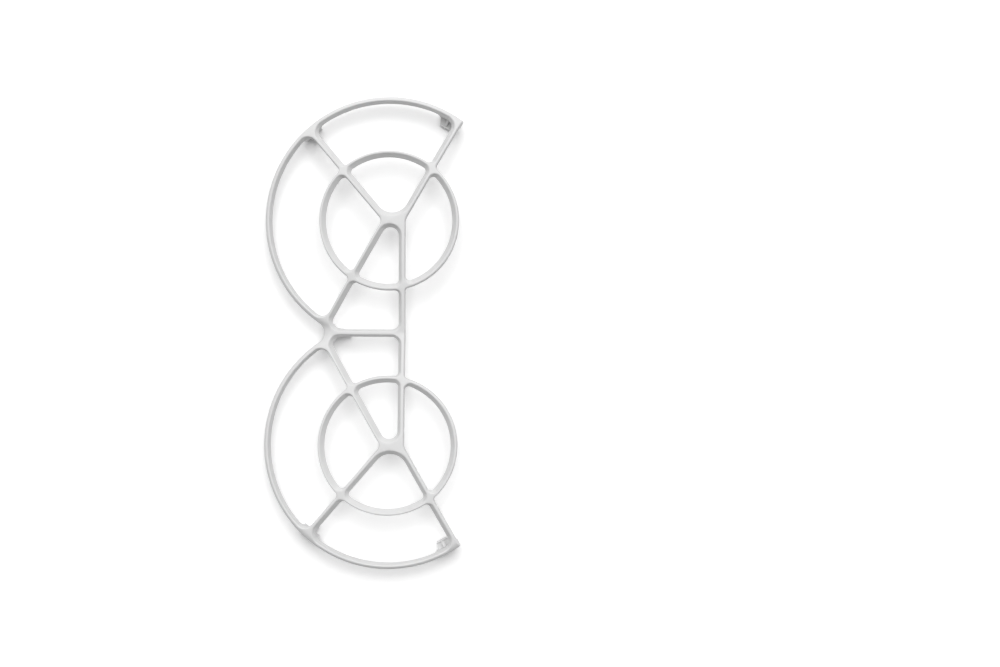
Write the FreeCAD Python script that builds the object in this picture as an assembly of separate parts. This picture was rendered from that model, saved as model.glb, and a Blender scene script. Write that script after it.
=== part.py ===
"""Propeller guard of a palm-size camera drone, moulded in one piece.

One guard covers the two rotors on one side of the drone. Over each rotor it has a shallow dome
with an outer rim, an inner ring, a hub and three straight arms. The two domes cross in the middle,
where a waisted node and a cross bar join them, and a long spine runs from hub to hub. Five legs
with snap hooks hang from the nodes and hold the guard on the frame of the drone.

Units are millimetres. X points inboard, towards the body of the drone. Y runs along the guard,
from rotor to rotor. Z points up. The origin is the middle of the footprint, on the ground.
Each rotor station is drawn in its own plan frame, whose origin is the rotor axis.
"""
import FreeCAD, Part
import math
import os

# Layout in plan
RIM_RADIUS = 34.45
RIM_OVERLAP = 6.7
RIM_WIDTH = 1.6
RING_RADIUS = 19.35
RING_WIDTH = 1.9

# Arms: heading from the rotor axis in degrees, and distance of the centre line from the axis,
# which is positive to the left of the heading
END_ARM_HEADING = 60.5
END_ARM_OFFSET = -3.0
OUTER_ARM_HEADING = 130.6
OUTER_ARM_OFFSET = 0.5
MIDDLE_ARM_HEADING = 240.2
MIDDLE_ARM_OFFSET = -0.80
ARM_WIDTH = 1.9
SPINE_X = 3.73
SPINE_WIDTH = 1.9
BAR_WIDTH = 2.05

# Heights: the outer skin is a dome that rolls over a shoulder into the upright wall of the rim,
# which goes on down as the outer wall of the legs
LEG_LENGTH = 5.0
RIM_WALL_HEIGHT = 1.0
SHOULDER_RADIUS = 2.3
DOME_RADIUS = 172.0
MEMBER_DEPTH = 2.0
VALLEY_EASING = 1.0

# Slope of the walls of the openings, as the width in plan over the depth of a member
ARM_SLOPE = 1.1
SPINE_SLOPE = 0.85
RING_SLOPE = 1.15
RIM_SLOPE = 0.45
BAR_SLOPE = 0.65
WALL_DRAFT = 0.2

# Rounding of the edges that the walls make with the outer skin
EDGE_RADIUS = 0.33
EDGE_SHARE_OF_RIDGE = 0.66

# Corner radii of the openings at their lower edge
RING_CORNER = 1.1
NODE_CORNER = 2.6
BAR_CORNER = 2.0
END_HUB_CORNER = 4.75
MIDDLE_HUB_CORNER = 2.35
OUTER_HUB_CORNER = 1.65
INBOARD_HUB_CORNER = 3.0
WAIST_RADIUS = 3.2

# Legs and snap hooks
END_LEG_HEADING = 60.9
OUTER_LEG_HEADING = 131.5
LEG_WIDTH = 5.4
MIDDLE_LEG_WIDTH = 2.6
LEG_GUSSET = 1.8
FOOT_CORNER = 0.8
MIDDLE_LEG_DEPTH = 5.2
END_HOOK_WIDTH = 2.9
END_HOOK_FLARE = 1.0
OUTER_HOOK_WIDTH = 2.1
MIDDLE_HOOK_WIDTH = 1.9
HOOK_FLARE = 0.1
HOOK_REACH = 2.0
HOOK_THICKNESS = 1.2
HOOK_LEAD_IN = 0.6
LIP_HEIGHT = 0.6
LIP_WIDTH = 0.6
RIB_WIDTH = 0.7
RIB_HEIGHT = 1.8

# Working values of the cutting tools
SPILL = 0.3
MARGIN = 1.0
FAR = 60.0
CURVE_POINTS = 9
SKIN_TOLERANCE = 0.06
LEAST_FOLD = math.radians(15)

HALF_SPACING = RIM_RADIUS - RIM_OVERLAP / 2
SHOULDER_CENTRE_R = RIM_RADIUS - SHOULDER_RADIUS
SHOULDER_CENTRE_Z = LEG_LENGTH + RIM_WALL_HEIGHT
DOME_CENTRE_Z = SHOULDER_CENTRE_Z - math.sqrt(
    (DOME_RADIUS - SHOULDER_RADIUS) ** 2 - SHOULDER_CENTRE_R ** 2
)
HUB_TOP_Z = DOME_CENTRE_Z + DOME_RADIUS
LEG_INNER_R = RIM_RADIUS - MEMBER_DEPTH
WAIST_X = WAIST_RADIUS - math.sqrt((RIM_RADIUS + WAIST_RADIUS) ** 2 - HALF_SPACING ** 2)


def vector(x, y, z=0.0):
    """Point in space."""
    return FreeCAD.Vector(x, y, z)


def prism(points, direction):
    """Solid swept from a closed polygon along a direction."""
    wire = Part.makePolygon(points + points[:1])
    return Part.Face(wire).extrude(direction)


class Straight:
    """Straight wall of an opening, followed with the opening on its left."""

    def __init__(self, heading, offset, slope):
        self.heading = math.radians(heading)
        self.offset = offset
        self.slope = slope

    def moved(self, distance):
        """The same wall, moved out of the opening."""
        return Straight(math.degrees(self.heading), self.offset - distance, self.slope)

    def at(self, run):
        """Point at a distance along the wall from the foot of the rotor axis."""
        x = run * math.cos(self.heading) - self.offset * math.sin(self.heading)
        y = run * math.sin(self.heading) + self.offset * math.cos(self.heading)
        return vector(x, y)

    def foot(self, point):
        """Nearest point on the wall."""
        run = point.x * math.cos(self.heading) + point.y * math.sin(self.heading)
        return self.at(run)

    def points(self, start, end, count):
        """Evenly spaced points from start to end."""
        return [start + (end - start) * (i / (count - 1)) for i in range(count)]


class Round:
    """Round wall about the rotor axis. The opening lies inside it, or around it."""

    def __init__(self, radius, inside, slope):
        self.radius = radius
        self.inside = inside
        self.slope = slope

    def moved(self, distance):
        """The same wall, moved out of the opening."""
        change = distance if self.inside else -distance
        return Round(self.radius + change, self.inside, self.slope)

    def foot(self, point):
        """Nearest point on the wall."""
        return point * (self.radius / point.Length)

    def points(self, start, end, count):
        """Points along the arc, anticlockwise where the opening is inside."""
        return arc_points(vector(0, 0), start, end, count, self.inside)


def arc_points(centre, start, end, count, anticlockwise=True):
    """Evenly spaced points on an arc from start to end about a centre."""
    first = math.atan2(start.y - centre.y, start.x - centre.x)
    last = math.atan2(end.y - centre.y, end.x - centre.x)
    sweep = (last - first) % (2 * math.pi)
    if not anticlockwise:
        sweep -= 2 * math.pi
    radius = (start - centre).Length
    angles = [first + sweep * i / (count - 1) for i in range(count)]
    return [centre + vector(radius * math.cos(a), radius * math.sin(a)) for a in angles]


def meeting_point(wall, next_wall):
    """Point where one wall runs into the next, going round with the opening on the left."""
    if isinstance(wall, Straight) and isinstance(next_wall, Straight):
        turn = math.sin(next_wall.heading - wall.heading)
        run = (wall.offset * math.cos(next_wall.heading - wall.heading) - next_wall.offset) / turn
        return wall.at(run)
    if isinstance(wall, Straight):
        run = math.sqrt(next_wall.radius ** 2 - wall.offset ** 2)
        return wall.at(run if next_wall.inside else -run)
    run = math.sqrt(wall.radius ** 2 - next_wall.offset ** 2)
    return next_wall.at(-run if wall.inside else run)


def dome_height(radius):
    """Height of the outer skin at a distance from the rotor axis."""
    junction = DOME_RADIUS * SHOULDER_CENTRE_R / (DOME_RADIUS - SHOULDER_RADIUS)
    if radius < junction:
        return DOME_CENTRE_Z + math.sqrt(DOME_RADIUS ** 2 - radius ** 2)
    # At the rim's own radius, rounding can leave a difference just below nothing.
    rise_squared = max(0.0, SHOULDER_RADIUS ** 2 - (radius - SHOULDER_CENTRE_R) ** 2)
    return SHOULDER_CENTRE_Z + math.sqrt(rise_squared)


def skin_height(point):
    """Height of the outer skin above a plan point, with the valley between the domes eased."""
    from_middle = math.hypot(point.y + HALF_SPACING, VALLEY_EASING)
    radius = math.hypot(point.x, from_middle - HALF_SPACING)
    return dome_height(min(radius, RIM_RADIUS - RIM_SLOPE))


def outline(walls, corners, rise):
    """Runs of plan points round an opening, one run for each wall and each rounded corner.

    rise is 0 at the lower edge of the walls and 1 at the outer skin.
    """
    count = len(walls)
    raised = [wall.moved(wall.slope * rise) for wall in walls]
    centres = []
    ends = []
    for i in range(count):
        after = (i + 1) % count
        if corners[i] == 0:
            point = meeting_point(raised[i], raised[after])
            centres.append(None)
            ends.append((point, point))
            continue
        radius = corners[i] + rise * (walls[i].slope + walls[after].slope) / 2
        centre = meeting_point(raised[i].moved(-radius), raised[after].moved(-radius))
        centres.append(centre)
        ends.append((raised[i].foot(centre), raised[after].foot(centre)))
    runs = []
    for i in range(count):
        runs.append(raised[i].points(ends[i - 1][1], ends[i][0], CURVE_POINTS))
        if centres[i]:
            runs.append(arc_points(centres[i], ends[i][0], ends[i][1], CURVE_POINTS))
    return runs


def curve_through(points):
    """Smooth edge through points."""
    curve = Part.BSplineCurve()
    curve.interpolate(points)
    return curve.toShape()


def level_section(runs, height):
    """Closed wire at one height."""
    edges = [curve_through([vector(p.x, p.y, height) for p in run]) for run in runs]
    return Part.Wire(edges)


def draped_section(runs, lift):
    """Closed wire that follows the outer skin at a constant height above it."""
    edges = [curve_through([vector(p.x, p.y, skin_height(p) + lift) for p in run]) for run in runs]
    return Part.Wire(edges)


def opening_tool(walls, corners):
    """Solid that cuts one opening, with walls that keep their slope all over the dome."""
    below = outline(walls, corners, -SPILL)
    above = outline(walls, corners, 1 + SPILL)
    sections = [
        level_section(below, -MARGIN),
        draped_section(below, -(1 + SPILL) * MEMBER_DEPTH),
        draped_section(above, SPILL * MEMBER_DEPTH),
        level_section(above, HUB_TOP_Z + MARGIN),
    ]
    return Part.makeLoft(sections, True, True)


def inboard_tool(walls, corners):
    """Solid that cuts all that lies inboard, with one drafted wall from the skin to the ground."""
    reach = HUB_TOP_Z + MARGIN
    below = outline(walls, corners, 1 - reach / MEMBER_DEPTH)
    above = outline(walls, corners, 1 + SPILL)
    sections = [
        draped_section(below, -reach),
        draped_section(above, SPILL * MEMBER_DEPTH),
        level_section(above, HUB_TOP_Z + MARGIN),
    ]
    return Part.makeLoft(sections, True, True)


def arm_left(heading, offset, slope):
    """Left wall of an arm, followed outwards."""
    return Straight(heading, offset + ARM_WIDTH / 2, slope)


def arm_right(heading, offset, slope):
    """Right wall of an arm, followed inwards."""
    return Straight(heading + 180, ARM_WIDTH / 2 - offset, slope)


def station_tools():
    """Cutting tools of one rotor station, in the plan frame of its rotor."""
    end_left = arm_left(END_ARM_HEADING, END_ARM_OFFSET, ARM_SLOPE)
    end_right = arm_right(END_ARM_HEADING, END_ARM_OFFSET, WALL_DRAFT)
    outer_left = arm_left(OUTER_ARM_HEADING, OUTER_ARM_OFFSET, WALL_DRAFT)
    outer_right = arm_right(OUTER_ARM_HEADING, OUTER_ARM_OFFSET, ARM_SLOPE)
    middle_left = arm_left(MIDDLE_ARM_HEADING, MIDDLE_ARM_OFFSET, ARM_SLOPE)
    middle_right = arm_right(MIDDLE_ARM_HEADING, MIDDLE_ARM_OFFSET, WALL_DRAFT)
    spine_inboard = Straight(-90, SPINE_X + SPINE_WIDTH / 2, WALL_DRAFT)
    spine_outboard = Straight(90, SPINE_WIDTH / 2 - SPINE_X, SPINE_SLOPE)
    bar_edge = Straight(0, BAR_WIDTH / 2 - HALF_SPACING, BAR_SLOPE)
    rim = Round(RIM_RADIUS - RIM_WIDTH, True, RIM_SLOPE)
    ring_inside = Round(RING_RADIUS - RING_WIDTH, True, RING_SLOPE)
    ring_outside = Round(RING_RADIUS, False, WALL_DRAFT)
    inner = RING_CORNER
    node = NODE_CORNER
    return [
        opening_tool([end_left, ring_inside, outer_right], [inner, inner, END_HUB_CORNER]),
        opening_tool([outer_left, ring_inside, middle_right], [inner, inner, OUTER_HUB_CORNER]),
        opening_tool([middle_left, ring_inside, spine_outboard], [inner, inner, MIDDLE_HUB_CORNER]),
        opening_tool([spine_inboard, ring_inside, end_right], [inner, inner, INBOARD_HUB_CORNER]),
        opening_tool([end_left, rim, outer_right, ring_outside], [node, node, inner, inner]),
        opening_tool([outer_left, rim, middle_right, ring_outside], [node, node, inner, inner]),
        opening_tool(
            [middle_left, bar_edge, spine_outboard, ring_outside],
            [BAR_CORNER, BAR_CORNER, inner, inner],
        ),
        inboard_tool(
            [
                Straight(0, -HALF_SPACING, 0),
                Straight(90, -FAR, 0),
                Straight(180, -FAR, 0),
                end_right,
                ring_outside,
                spine_inboard,
            ],
            [0, 0, 0, inner, inner, 0],
        ),
    ]


def cap_profile():
    """Half section of one dome with its shoulder and skirt, in the XZ plane."""
    def skin_points(depth):
        dome = DOME_RADIUS - depth
        shoulder = SHOULDER_RADIUS - depth
        top = vector(0, 0, DOME_CENTRE_Z + dome)
        tilt = math.asin(SHOULDER_CENTRE_R / (DOME_RADIUS - SHOULDER_RADIUS))
        along = vector(math.sin(tilt / 2), 0, math.cos(tilt / 2))
        middle = vector(0, 0, DOME_CENTRE_Z) + along * dome
        out = vector(math.sin(tilt), 0, math.cos(tilt))
        junction = vector(0, 0, DOME_CENTRE_Z) + out * dome
        roll = (tilt + math.pi / 2) / 2
        centre = vector(SHOULDER_CENTRE_R, 0, SHOULDER_CENTRE_Z)
        halfway = centre + vector(math.sin(roll), 0, math.cos(roll)) * shoulder
        side = centre + vector(shoulder, 0, 0)
        foot = vector(side.x, 0, -MARGIN)
        return top, middle, junction, halfway, side, foot

    top, middle, junction, halfway, side, foot = skin_points(0)
    top_in, middle_in, junction_in, halfway_in, side_in, foot_in = skin_points(MEMBER_DEPTH)
    edges = [
        Part.Arc(top, middle, junction).toShape(),
        Part.Arc(junction, halfway, side).toShape(),
        Part.makeLine(side, foot),
        Part.makeLine(foot, foot_in),
        Part.makeLine(foot_in, side_in),
        Part.Arc(side_in, halfway_in, junction_in).toShape(),
        Part.Arc(junction_in, middle_in, top_in).toShape(),
        Part.makeLine(top_in, top),
    ]
    return Part.Face(Part.Wire(edges))


def mirrored(shape):
    """The same shape at the other rotor."""
    return shape.mirror(vector(0, 0), vector(0, 1))


def to_station(shape):
    """Copy of a shape moved from the plan frame of a rotor to its place on the guard."""
    moved = shape.copy()
    moved.translate(vector(0, HALF_SPACING))
    return moved


def crossed_caps():
    """Two domes that cross in the middle, with the valley between them rounded."""
    cap = cap_profile().revolve(vector(0, 0), vector(0, 0, 1), 360)
    half_space = Part.makeBox(2 * FAR, 2 * FAR, FAR, vector(-FAR, 0, -2 * MARGIN))
    half = to_station(cap).common(half_space)
    caps = half.fuse(mirrored(half)).removeSplitter()
    valley = [edge for edge in caps.Edges if on_outer_valley(edge)]
    caps = caps.makeFillet(WAIST_RADIUS, valley)
    return caps


def on_outer_valley(edge):
    """True for the edges where the outer skins of the two domes meet."""
    box = edge.BoundBox
    if box.YLength > 1e-3 or abs(box.YMin) > 1e-3 or box.DiagonalLength < 1e-3:
        return False
    middle = edge.valueAt((edge.FirstParameter + edge.LastParameter) / 2)
    radius = math.hypot(middle.x, HALF_SPACING)
    if abs(radius - RIM_RADIUS) < 1e-3:
        return True
    outward = radius - SHOULDER_CENTRE_R
    up = middle.z - SHOULDER_CENTRE_Z
    on_shoulder = abs(math.hypot(outward, up) - SHOULDER_RADIUS) < 1e-3
    on_dome = abs(math.hypot(radius, middle.z - DOME_CENTRE_Z) - DOME_RADIUS) < 1e-3
    return on_shoulder or on_dome


def ridge_radius():
    """Rounding of the edges beside the ridges, limited by the narrowest ridge."""
    ridges = [
        ARM_WIDTH - ARM_SLOPE - WALL_DRAFT,
        RING_WIDTH - RING_SLOPE - WALL_DRAFT,
        SPINE_WIDTH - SPINE_SLOPE - WALL_DRAFT,
        BAR_WIDTH - 2 * BAR_SLOPE,
    ]
    return min(EDGE_RADIUS, EDGE_SHARE_OF_RIDGE * min(ridges))


def on_skin(point):
    """True for points of the outer skin, on the domes, their shoulders or the upright wall."""
    radius = math.hypot(point.x, abs(point.y) - HALF_SPACING)
    if point.z < SHOULDER_CENTRE_Z:
        return abs(radius - RIM_RADIUS) < SKIN_TOLERANCE
    radius = min(radius, RIM_RADIUS)
    return abs(point.z - dome_height(radius)) < SKIN_TOLERANCE


def on_ridge(solid, edge):
    """True for the edges that the walls of the openings make with the outer skin."""
    span = edge.LastParameter - edge.FirstParameter
    for share in (0.2, 0.5):
        point = edge.valueAt(edge.FirstParameter + share * span)
        if not on_skin(point) or point.z < -MARGIN / 2:
            return False
    faces = solid.ancestorsOfType(edge, Part.Face)
    normals = [face.normalAt(*face.Surface.parameter(point)) for face in faces]
    return len(faces) == 2 and normals[0].getAngle(normals[1]) > LEAST_FOLD


def leg_space(width, inner_end):
    """Space that a leg fills under the rim, along the X axis, with gussets and round corners."""
    half = width / 2
    bend = math.sin(math.pi / 4)

    def at(y, z):
        return vector(inner_end, y, z)

    def side(sign):
        top = at(sign * (half + LEG_GUSSET), LEG_LENGTH + MARGIN)
        gusset_end = at(sign * (half + LEG_GUSSET), LEG_LENGTH)
        gusset_middle = at(
            sign * (half + LEG_GUSSET * (1 - bend)),
            LEG_LENGTH - LEG_GUSSET * (1 - bend),
        )
        gusset_start = at(sign * half, LEG_LENGTH - LEG_GUSSET)
        corner_end = at(sign * half, FOOT_CORNER)
        corner_middle = at(
            sign * (half - FOOT_CORNER * (1 - bend)),
            FOOT_CORNER * (1 - bend),
        )
        corner_start = at(sign * (half - FOOT_CORNER), 0)
        edges = [
            Part.makeLine(top, gusset_end),
            Part.Arc(gusset_end, gusset_middle, gusset_start).toShape(),
            Part.makeLine(gusset_start, corner_end),
            Part.Arc(corner_end, corner_middle, corner_start).toShape(),
        ]
        return edges, top, corner_start

    left, left_top, left_foot = side(-1)
    right, right_top, right_foot = side(1)
    foot = Part.makeLine(left_foot, right_foot)
    lid = Part.makeLine(right_top, left_top)
    wire = Part.Wire(left + [foot] + right[::-1] + [lid])
    return Part.Face(wire).extrude(vector(FAR, 0, 0))


def snap_hook(width, flare):
    """Snap hook of a leg that stands along the X axis: catch, raised lip and stiffening rib."""
    root = LEG_INNER_R + MEMBER_DEPTH / 4
    tip = LEG_INNER_R - HOOK_REACH
    top = HOOK_THICKNESS
    half = width / 2
    side = [
        vector(root, -half - flare, 0),
        vector(tip + HOOK_LEAD_IN, -half - flare, 0),
        vector(tip, -half - flare, HOOK_LEAD_IN),
        vector(tip, -half - flare, top + LIP_HEIGHT / 2),
        vector(tip + LIP_WIDTH / 4, -half - flare, top + LIP_HEIGHT),
        vector(tip + LIP_WIDTH * 3 / 4, -half - flare, top + LIP_HEIGHT),
        vector(tip + LIP_WIDTH, -half - flare, top),
        vector(root, -half - flare, top),
    ]
    plan = [
        vector(tip, -half),
        vector(root, -half - flare),
        vector(root, half + flare),
        vector(tip, half),
    ]
    catch = prism(side, vector(0, width + 2 * flare, 0))
    catch = catch.common(prism(plan, vector(0, 0, LEG_LENGTH)))
    rib = prism(
        [
            vector(tip + LIP_WIDTH / 2, -RIB_WIDTH / 2, top / 2),
            vector(root, -RIB_WIDTH / 2, top / 2),
            vector(root, -RIB_WIDTH / 2, top + RIB_HEIGHT),
            vector(LEG_INNER_R, -RIB_WIDTH / 2, top + RIB_HEIGHT),
            vector(tip + LIP_WIDTH / 2, -RIB_WIDTH / 2, top + LIP_HEIGHT / 2),
        ],
        vector(0, RIB_WIDTH, 0),
    )
    return catch.fuse(rib)


def at_legs(end_shape, outer_shape, middle_shape):
    """Copies of shapes at the four legs under the domes, and one at the middle leg."""
    copies = [middle_shape]
    for shape, heading in ((end_shape, END_LEG_HEADING), (outer_shape, OUTER_LEG_HEADING)):
        turned = shape.copy()
        turned.rotate(vector(0, 0), vector(0, 0, 1), heading)
        placed = to_station(turned)
        copies.append(placed)
        copies.append(mirrored(placed))
    return copies


def facing_inboard(shape):
    """Shape of a leg turned to stand in the waist, with its inner wall at the middle leg's."""
    turned = shape.copy()
    turned.rotate(vector(0, 0), vector(0, 0, 1), 180)
    turned.translate(vector(WAIST_X + MIDDLE_LEG_DEPTH + LEG_INNER_R, 0))
    return turned


def propeller_guard():
    """The whole guard as one solid."""
    tools = [to_station(tool) for tool in station_tools()]
    tools += [mirrored(tool) for tool in tools]
    guard = crossed_caps().cut(tools)
    ridges = [edge for edge in guard.Edges if on_ridge(guard, edge)]
    guard = guard.makeFillet(ridge_radius(), ridges)
    under_rim = Part.makeBox(
        2 * FAR, 4 * FAR, LEG_LENGTH + 2 * MARGIN, vector(-FAR, -2 * FAR, -2 * MARGIN)
    )
    leg = leg_space(LEG_WIDTH, 0)
    middle_leg = facing_inboard(leg_space(MIDDLE_LEG_WIDTH, LEG_INNER_R))
    under_rim = under_rim.cut(at_legs(leg, leg, middle_leg))
    guard = guard.cut(under_rim)
    end_hook = snap_hook(END_HOOK_WIDTH, END_HOOK_FLARE)
    outer_hook = snap_hook(OUTER_HOOK_WIDTH, HOOK_FLARE)
    middle_hook = facing_inboard(snap_hook(MIDDLE_HOOK_WIDTH, HOOK_FLARE))
    guard = guard.fuse(at_legs(end_hook, outer_hook, middle_hook))
    guard = guard.removeSplitter()
    box = guard.optimalBoundingBox()
    guard.translate(vector(-box.Center.x, -box.Center.y, -box.ZMin))
    return guard


def main():
    os.makedirs("parts", exist_ok=True)
    guard = propeller_guard()
    guard.exportStep("parts/propeller_guard.step")
    box = guard.optimalBoundingBox()
    print("solids", len(guard.Solids), "valid", guard.isValid(), "faces", len(guard.Faces))
    print("size", round(box.XLength, 2), round(box.YLength, 2), round(box.ZLength, 2))
    print("lowest point", round(box.ZMin, 3))
    print("volume", round(guard.Volume, 1))


main()
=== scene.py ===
"""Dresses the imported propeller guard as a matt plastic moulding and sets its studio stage.

The guard is one injection moulding, so the scene has one piece. Its shape is the shape of the CAD
node: the piece is a merged copy of the node's mesh, with shading that follows the rounded ridges.
The stage is a white table, seen from straight above. A high, soft main light and a surrounding
light that fades away from the far end show the slopes of the members.
"""
import math

import bmesh
import bpy
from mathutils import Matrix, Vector


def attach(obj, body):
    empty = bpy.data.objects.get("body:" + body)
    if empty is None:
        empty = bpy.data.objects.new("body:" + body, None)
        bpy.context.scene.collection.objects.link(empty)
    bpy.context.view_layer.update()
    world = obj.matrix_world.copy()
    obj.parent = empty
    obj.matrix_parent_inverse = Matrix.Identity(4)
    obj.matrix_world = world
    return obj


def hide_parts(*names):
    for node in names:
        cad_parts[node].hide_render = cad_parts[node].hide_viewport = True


bl_info = {
    "name": "Propeller guard",
    "version": (1, 0, 0),
    "blender": (4, 5, 0),
    "location": "3D View > Sidebar > Guard",
    "description": "Dresses a moulded propeller guard and sets its studio stage",
    "category": "Object",
}

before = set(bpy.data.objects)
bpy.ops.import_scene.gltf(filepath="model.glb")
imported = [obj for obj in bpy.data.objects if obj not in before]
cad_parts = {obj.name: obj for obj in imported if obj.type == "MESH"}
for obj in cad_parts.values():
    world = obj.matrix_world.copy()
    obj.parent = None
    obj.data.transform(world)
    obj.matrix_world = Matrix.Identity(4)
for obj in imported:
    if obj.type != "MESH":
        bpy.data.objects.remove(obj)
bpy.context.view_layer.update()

MM = 0.001
GUARD_NODE = "propeller_guard"
PIECE_NAME = "guard_moulding"
IMAGE_WIDTH = 1000
SENSOR_WIDTH_MM = 36.0
MERGE_DISTANCE = 0.0015 * MM

WHITE = (1.0, 1.0, 1.0, 1.0)
PLASTIC_IOR = 1.53
PLASTIC_SPECULAR = 0.4

# Places of the mix node's sockets, whose names repeat
MIX_VALUE_A = 2
MIX_VALUE_B = 3
MIX_COLOUR_A = 6
MIX_COLOUR_B = 7
MIXED_COLOUR = 2


def linear_colour(hex_code):
    """Linear RGBA of an sRGB hex colour."""
    values = []
    for start in (1, 3, 5):
        value = int(hex_code[start:start + 2], 16) / 255
        low = value / 12.92
        high = ((value + 0.055) / 1.055) ** 2.4
        values.append(low if value <= 0.04045 else high)
    return (*values, 1.0)


class GuardMouldingSettings(bpy.types.PropertyGroup):
    """Sizes and colours of the moulded plastic."""

    body_colour: bpy.props.FloatVectorProperty(
        name="Plastic colour",
        description="Colour of the moulded plastic",
        subtype="COLOR",
        size=4,
        min=0.0,
        max=1.0,
        default=linear_colour("#DDDDDD"),
    )
    flow_colour: bpy.props.FloatVectorProperty(
        name="Flow colour",
        description="Slightly deeper colour in the broad clouds where the melt flowed slower",
        subtype="COLOR",
        size=4,
        min=0.0,
        max=1.0,
        default=linear_colour("#D9D9D9"),
    )
    flow_size: bpy.props.FloatProperty(
        name="Flow size",
        description="Width of the flow clouds",
        unit="LENGTH",
        default=9.0 * MM,
        min=1.0 * MM,
    )
    grain_size: bpy.props.FloatProperty(
        name="Grain size",
        description="Width of the fine mould texture",
        unit="LENGTH",
        default=0.16 * MM,
        min=0.02 * MM,
    )
    grain_depth: bpy.props.FloatProperty(
        name="Grain depth",
        description="Depth of the fine mould texture",
        unit="LENGTH",
        default=0.006 * MM,
        min=0.0,
    )
    roughness: bpy.props.FloatProperty(
        name="Roughness",
        description="Roughness of the matt plastic",
        default=0.52,
        min=0.0,
        max=1.0,
    )
    roughness_spread: bpy.props.FloatProperty(
        name="Roughness spread",
        description="How far the roughness rises and falls in the flow clouds",
        default=0.03,
        min=0.0,
        max=0.2,
    )
    crease_angle: bpy.props.FloatProperty(
        name="Crease angle",
        description="Folds sharper than this keep a crisp edge",
        subtype="ANGLE",
        default=math.radians(38),
        min=math.radians(1),
        max=math.radians(180),
    )


class GuardStageSettings(bpy.types.PropertyGroup):
    """Camera, light and table of the stage."""

    table_colour: bpy.props.FloatVectorProperty(
        name="Table colour",
        description="Colour of the white table",
        subtype="COLOR",
        size=4,
        min=0.0,
        max=1.0,
        default=linear_colour("#DCDCDC"),
    )
    table_size: bpy.props.FloatProperty(
        name="Table size",
        description="Width of the table",
        unit="LENGTH",
        default=12.0,
        min=0.5,
    )
    table_gain: bpy.props.FloatProperty(
        name="Table gain",
        description="How many times brighter the table is seen than it lights, to look white",
        default=1.58,
        min=1.0,
    )
    sky_level: bpy.props.FloatProperty(
        name="Surrounding light",
        description="Share of the surrounding light on a level surface. It fades away from +Y",
        default=0.48,
        min=0.0,
    )
    key_level: bpy.props.FloatProperty(
        name="Main light",
        description="Share of the main light on a level surface",
        default=0.52,
        min=0.0,
    )
    key_elevation: bpy.props.FloatProperty(
        name="Main light elevation",
        description="Height of the main light above the horizon",
        subtype="ANGLE",
        default=math.radians(67),
        min=math.radians(5),
        max=math.radians(90),
    )
    key_heading: bpy.props.FloatProperty(
        name="Main light heading",
        description="Direction of the main light in plan, turned from +Y towards +X",
        subtype="ANGLE",
        default=math.radians(11),
    )
    key_softness: bpy.props.FloatProperty(
        name="Main light softness",
        description="Angle that the main light spans",
        subtype="ANGLE",
        default=math.radians(42),
        min=0.0,
        max=math.radians(180),
    )
    camera_height: bpy.props.FloatProperty(
        name="Camera height",
        description="Height of the camera above the table",
        unit="LENGTH",
        default=450.0 * MM,
        min=100.0 * MM,
    )
    focal_pixels: bpy.props.FloatProperty(
        name="Focal length in pixels",
        description="Focal length of the camera in pixels of the picture",
        default=1598.0,
        min=100.0,
    )
    camera_x: bpy.props.FloatProperty(
        name="Camera X",
        description="Place of the camera across the guard",
        unit="LENGTH",
        default=37.95 * MM,
    )
    camera_y: bpy.props.FloatProperty(
        name="Camera Y",
        description="Place of the camera along the guard",
        unit="LENGTH",
        default=0.12 * MM,
    )
    camera_roll: bpy.props.FloatProperty(
        name="Camera roll",
        description="Turn of the camera about its line of sight",
        subtype="ANGLE",
        default=math.radians(0.41),
    )


def add_node(tree, kind, settings=None, inputs=None):
    """Adds a node with its settings, and its input values or links by name or by place."""
    node = tree.nodes.new(kind)
    for name, value in (settings or {}).items():
        setattr(node, name, value)
    for name, value in (inputs or {}).items():
        if isinstance(value, bpy.types.NodeSocket):
            tree.links.new(value, node.inputs[name])
        else:
            node.inputs[name].default_value = value
    return node


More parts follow.
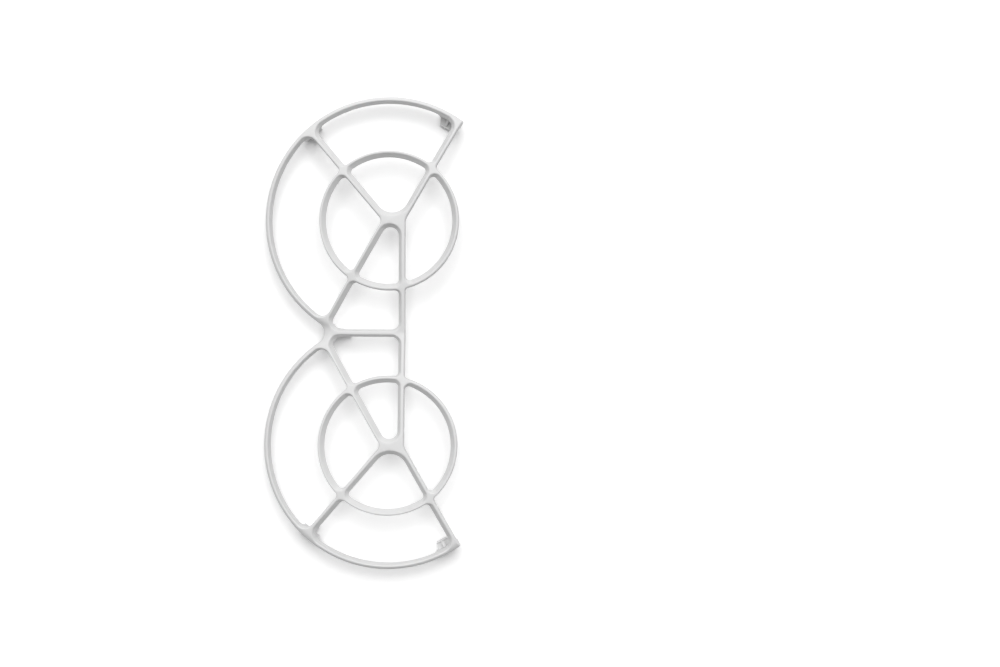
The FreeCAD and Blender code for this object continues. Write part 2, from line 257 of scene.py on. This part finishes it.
def moulded_plastic(settings):
    """Matt light grey ABS, injection moulded in a finely eroded steel mould.

    The eroded mould gives a soft even sheen with a fine grain. The melt leaves broad, barely
    visible clouds in colour and gloss.
    """
    material = bpy.data.materials.new("Moulded matt ABS, light grey")
    material.use_nodes = True
    tree = material.node_tree
    shader = tree.nodes["Principled BSDF"]
    place = add_node(tree, "ShaderNodeTexCoord")
    clouds = add_node(
        tree,
        "ShaderNodeTexNoise",
        inputs={
            "Vector": place.outputs["Object"],
            "Scale": 1 / settings.flow_size,
            "Detail": 2.0,
            "Roughness": 0.5,
        },
    )
    tint = add_node(
        tree,
        "ShaderNodeMix",
        {"data_type": "RGBA"},
        {
            "Factor": clouds.outputs["Fac"],
            MIX_COLOUR_A: settings.body_colour,
            MIX_COLOUR_B: settings.flow_colour,
        },
    )
    sheen = add_node(
        tree,
        "ShaderNodeMapRange",
        inputs={
            "Value": clouds.outputs["Fac"],
            "From Min": 0.3,
            "From Max": 0.7,
            "To Min": settings.roughness - settings.roughness_spread,
            "To Max": settings.roughness + settings.roughness_spread,
        },
    )
    grain = add_node(
        tree,
        "ShaderNodeTexNoise",
        inputs={
            "Vector": place.outputs["Object"],
            "Scale": 1 / settings.grain_size,
            "Detail": 2.0,
            "Roughness": 0.6,
        },
    )
    bump = add_node(
        tree,
        "ShaderNodeBump",
        inputs={
            "Height": grain.outputs["Fac"],
            "Strength": 1.0,
            "Distance": settings.grain_depth,
        },
    )
    tree.links.new(tint.outputs[MIXED_COLOUR], shader.inputs["Base Color"])
    tree.links.new(sheen.outputs["Result"], shader.inputs["Roughness"])
    tree.links.new(bump.outputs["Normal"], shader.inputs["Normal"])
    shader.inputs["IOR"].default_value = PLASTIC_IOR
    shader.inputs["Specular IOR Level"].default_value = PLASTIC_SPECULAR
    return material


class GUARD_OT_moulding(bpy.types.Operator):
    """Makes the visible guard from the CAD node and gives it its moulded plastic"""

    bl_idname = "guard.moulding"
    bl_label = "Guard moulding"

    def execute(self, context):
        settings = context.scene.guard_moulding
        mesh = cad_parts[GUARD_NODE].data.copy()
        mesh.name = PIECE_NAME
        edit = bmesh.new()
        edit.from_mesh(mesh)
        bmesh.ops.remove_doubles(edit, verts=edit.verts, dist=MERGE_DISTANCE)
        open_edges = [edge for edge in edit.edges if not edge.is_manifold]
        if open_edges:
            raise RuntimeError("the guard's skin has %d open edges" % len(open_edges))
        for edge in edit.edges:
            edge.smooth = edge.calc_face_angle() < settings.crease_angle
        for face in edit.faces:
            face.smooth = True
        edit.to_mesh(mesh)
        edit.free()
        mesh.materials.clear()
        mesh.materials.append(moulded_plastic(settings))
        piece = bpy.data.objects.new(PIECE_NAME, mesh)
        context.scene.collection.objects.link(piece)
        even = piece.modifiers.new("Even shading", "WEIGHTED_NORMAL")
        even.keep_sharp = True
        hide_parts(GUARD_NODE)
        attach(piece, "root")
        return {"FINISHED"}


def rays_that_see(tree):
    """Socket that is one for rays of the camera, reflections and refractions, and else nought."""
    rays = add_node(tree, "ShaderNodeLightPath")
    bent = add_node(
        tree,
        "ShaderNodeMath",
        {"operation": "MAXIMUM"},
        {0: rays.outputs["Is Glossy Ray"], 1: rays.outputs["Is Transmission Ray"]},
    )
    seen = add_node(
        tree,
        "ShaderNodeMath",
        {"operation": "MAXIMUM"},
        {0: rays.outputs["Is Camera Ray"], 1: bent.outputs["Value"]},
    )
    return seen.outputs["Value"]


def white_table(settings):
    """White matt board. It keeps the guard's shadow, and is seen bright enough to be white."""
    material = bpy.data.materials.new("White matt board")
    material.use_nodes = True
    tree = material.node_tree
    tree.nodes.clear()
    red, green, blue = (settings.table_gain * part for part in settings.table_colour[:3])
    colour = add_node(
        tree,
        "ShaderNodeMix",
        {"data_type": "RGBA"},
        {
            "Factor": rays_that_see(tree),
            MIX_COLOUR_A: settings.table_colour,
            MIX_COLOUR_B: (red, green, blue, 1.0),
        },
    )
    board = add_node(
        tree, "ShaderNodeBsdfDiffuse", inputs={"Color": colour.outputs[MIXED_COLOUR]}
    )
    add_node(tree, "ShaderNodeOutputMaterial", inputs={"Surface": board.outputs["BSDF"]})
    return material


def soft_surround(settings):
    """World that lights softly from all round, fading evenly from the far horizon to the near one.

    It looks white where it is seen.
    """
    world = bpy.data.worlds.new("Soft surround")
    world.use_nodes = True
    tree = world.node_tree
    tree.nodes.clear()
    place = add_node(tree, "ShaderNodeTexCoord")
    axes = add_node(
        tree, "ShaderNodeSeparateXYZ", inputs={"Vector": place.outputs["Generated"]}
    )
    fade = add_node(
        tree,
        "ShaderNodeMapRange",
        inputs={
            "Value": axes.outputs["Y"],
            "From Min": -1.0,
            "To Max": 2 * settings.sky_level,
        },
    )
    level = add_node(
        tree,
        "ShaderNodeMix",
        {"data_type": "FLOAT"},
        {
            "Factor": rays_that_see(tree),
            MIX_VALUE_A: fade.outputs["Result"],
            MIX_VALUE_B: 1.0,
        },
    )
    sky = add_node(
        tree,
        "ShaderNodeBackground",
        inputs={"Color": WHITE, "Strength": level.outputs["Result"]},
    )
    add_node(tree, "ShaderNodeOutputWorld", inputs={"Surface": sky.outputs["Background"]})
    return world


class GUARD_OT_stage(bpy.types.Operator):
    """Sets the white table, the soft light and the camera above the guard"""

    bl_idname = "guard.stage"
    bl_label = "Stage"

    def execute(self, context):
        scene = context.scene
        settings = scene.guard_stage
        half = settings.table_size / 2
        mesh = bpy.data.meshes.new("table")
        corners = [(-half, -half, 0), (half, -half, 0), (half, half, 0), (-half, half, 0)]
        mesh.from_pydata(corners, [], [(0, 1, 2, 3)])
        mesh.materials.append(white_table(settings))
        table = bpy.data.objects.new("table", mesh)
        scene.collection.objects.link(table)

        scene.world = soft_surround(settings)

        key_data = bpy.data.lights.new("main_light", "SUN")
        key_data.angle = settings.key_softness
        key_data.energy = math.pi * settings.key_level / math.sin(settings.key_elevation)
        key = bpy.data.objects.new("main_light", key_data)
        level = math.cos(settings.key_elevation)
        towards = Vector((
            level * math.sin(settings.key_heading),
            level * math.cos(settings.key_heading),
            math.sin(settings.key_elevation),
        ))
        key.rotation_euler = towards.to_track_quat("Z", "Y").to_euler()
        scene.collection.objects.link(key)

        lens_data = bpy.data.cameras.new("camera")
        lens_data.sensor_width = SENSOR_WIDTH_MM
        lens_data.lens = SENSOR_WIDTH_MM * settings.focal_pixels / IMAGE_WIDTH
        lens_data.clip_start = 0.01
        lens_data.clip_end = 100.0
        camera = bpy.data.objects.new("camera", lens_data)
        camera.location = (settings.camera_x, settings.camera_y, settings.camera_height)
        camera.rotation_euler = (0.0, 0.0, settings.camera_roll)
        scene.collection.objects.link(camera)
        scene.camera = camera
        scene.view_settings.view_transform = "Standard"
        return {"FINISHED"}


class GUARD_PT_panel(bpy.types.Panel):
    """Lists the steps that make the guard's scene"""

    bl_idname = "GUARD_PT_panel"
    bl_label = "Propeller guard"
    bl_space_type = "VIEW_3D"
    bl_region_type = "UI"
    bl_category = "Guard"

    def draw(self, context):
        layout = self.layout
        for operator, group in STEPS:
            layout.operator(operator.bl_idname)
            settings = getattr(context.scene, group)
            for name in settings.__annotations__:
                layout.prop(settings, name)


STEPS = (
    (GUARD_OT_moulding, "guard_moulding"),
    (GUARD_OT_stage, "guard_stage"),
)
CLASSES = (
    GuardMouldingSettings,
    GuardStageSettings,
    GUARD_OT_moulding,
    GUARD_OT_stage,
    GUARD_PT_panel,
)


def register():
    """Registers the classes and hangs their settings on the scene."""
    for one in CLASSES:
        bpy.utils.register_class(one)
    bpy.types.Scene.guard_moulding = bpy.props.PointerProperty(type=GuardMouldingSettings)
    bpy.types.Scene.guard_stage = bpy.props.PointerProperty(type=GuardStageSettings)


def unregister():
    """Takes the settings and the classes away again."""
    del bpy.types.Scene.guard_stage
    del bpy.types.Scene.guard_moulding
    for one in reversed(CLASSES):
        bpy.utils.unregister_class(one)


def main():
    """Makes the whole scene."""
    register()
    bpy.ops.guard.moulding()
    bpy.ops.guard.stage()


if __name__ == "__main__":
    main()
